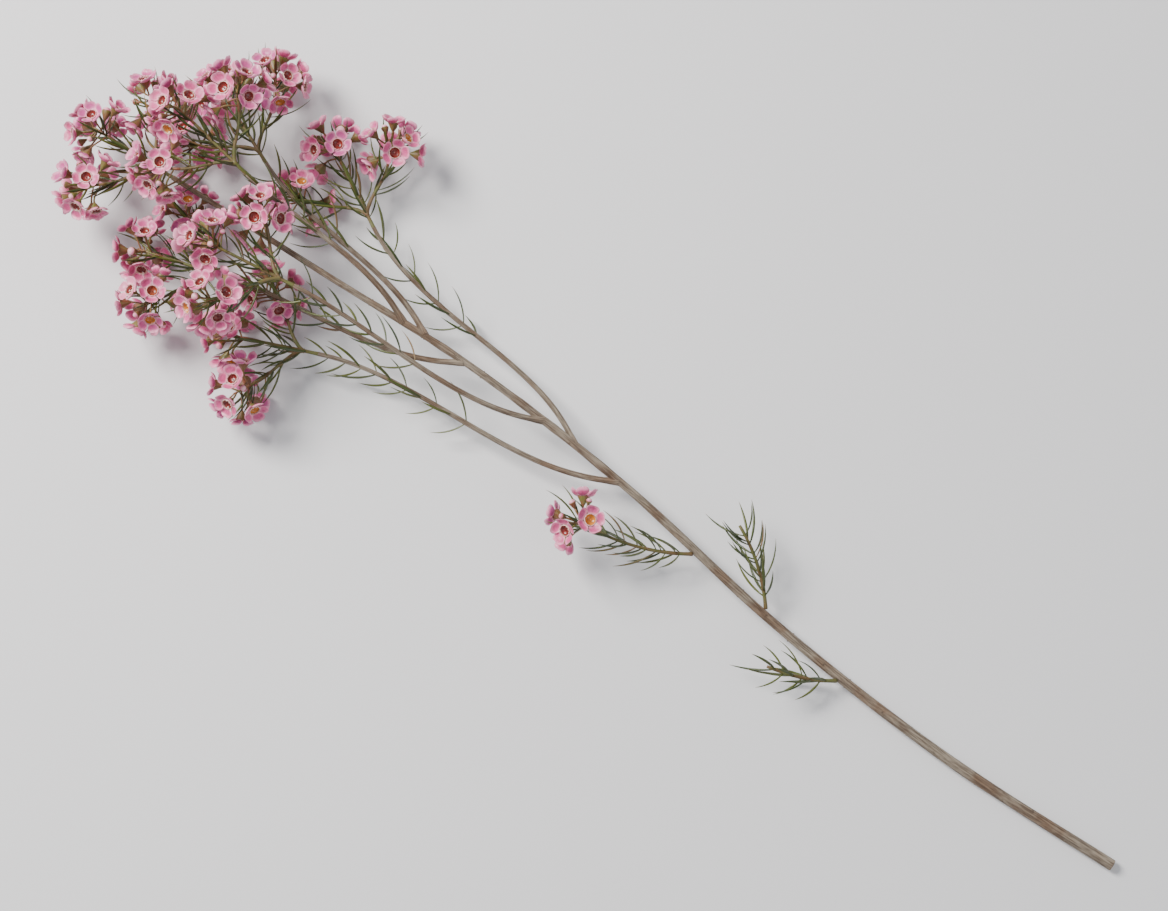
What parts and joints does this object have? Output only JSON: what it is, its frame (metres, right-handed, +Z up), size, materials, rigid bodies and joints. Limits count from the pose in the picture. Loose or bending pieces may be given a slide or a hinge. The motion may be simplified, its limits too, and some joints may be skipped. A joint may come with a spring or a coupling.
{
  "type": "waxflower stem",
  "caption": "Cut flowering branch lying on its side: woody forked stem, green needle-leaved twigs and domed heads of small five-petalled pink blooms",
  "frame": {"origin": "on the surface that the stem lies on, under the middle of its bounding box", "axes": "+Y runs along the stem from the cut end to the top flower heads, +Z points up from the surface, +X to the right of the stem seen from above with the top away"},
  "size_m": [0.1676, 0.5948, 0.0769],
  "materials": {
    "bark": "matte",
    "leaf_green": "satin",
    "petal_pink": "satin"
  },
  "bodies": {
    "root": {"woody_stem": "bark", "leafy_shoot_low_1": "leaf_green", "leafy_shoot_low_2": "leaf_green", "leafy_shoot_low_3": "leaf_green", "leafy_spray_left_low": "leaf_green", "leafy_spray_right_low": "leaf_green", "leafy_spray_upper_low": "leaf_green", "leafy_spray_left_high": "leaf_green", "leafy_spray_right_high": "leaf_green", "leafy_spray_upper_high": "leaf_green", "leafy_spray_leader": "leaf_green", "flower_head_low_3": "petal_pink", "flower_head_left_low_1": "petal_pink", "flower_head_left_low_2": "petal_pink", "flower_head_left_low_3": "petal_pink", "flower_head_right_low_1": "petal_pink", "flower_head_right_low_2": "petal_pink", "flower_head_right_low_3": "petal_pink", "flower_head_upper_low_1": "petal_pink", "flower_head_upper_low_2": "petal_pink", "flower_head_upper_low_3": "petal_pink", "flower_head_left_high_1": "petal_pink", "flower_head_left_high_2": "petal_pink", "flower_head_left_high_3": "petal_pink", "flower_head_right_high_1": "petal_pink", "flower_head_right_high_2": "petal_pink", "flower_head_right_high_3": "petal_pink", "flower_head_upper_high_1": "petal_pink", "flower_head_upper_high_2": "petal_pink", "flower_head_upper_high_3": "petal_pink", "flower_head_leader_1": "petal_pink", "flower_head_leader_2": "petal_pink", "flower_head_leader_3": "petal_pink"}
  },
  "joints": []
}
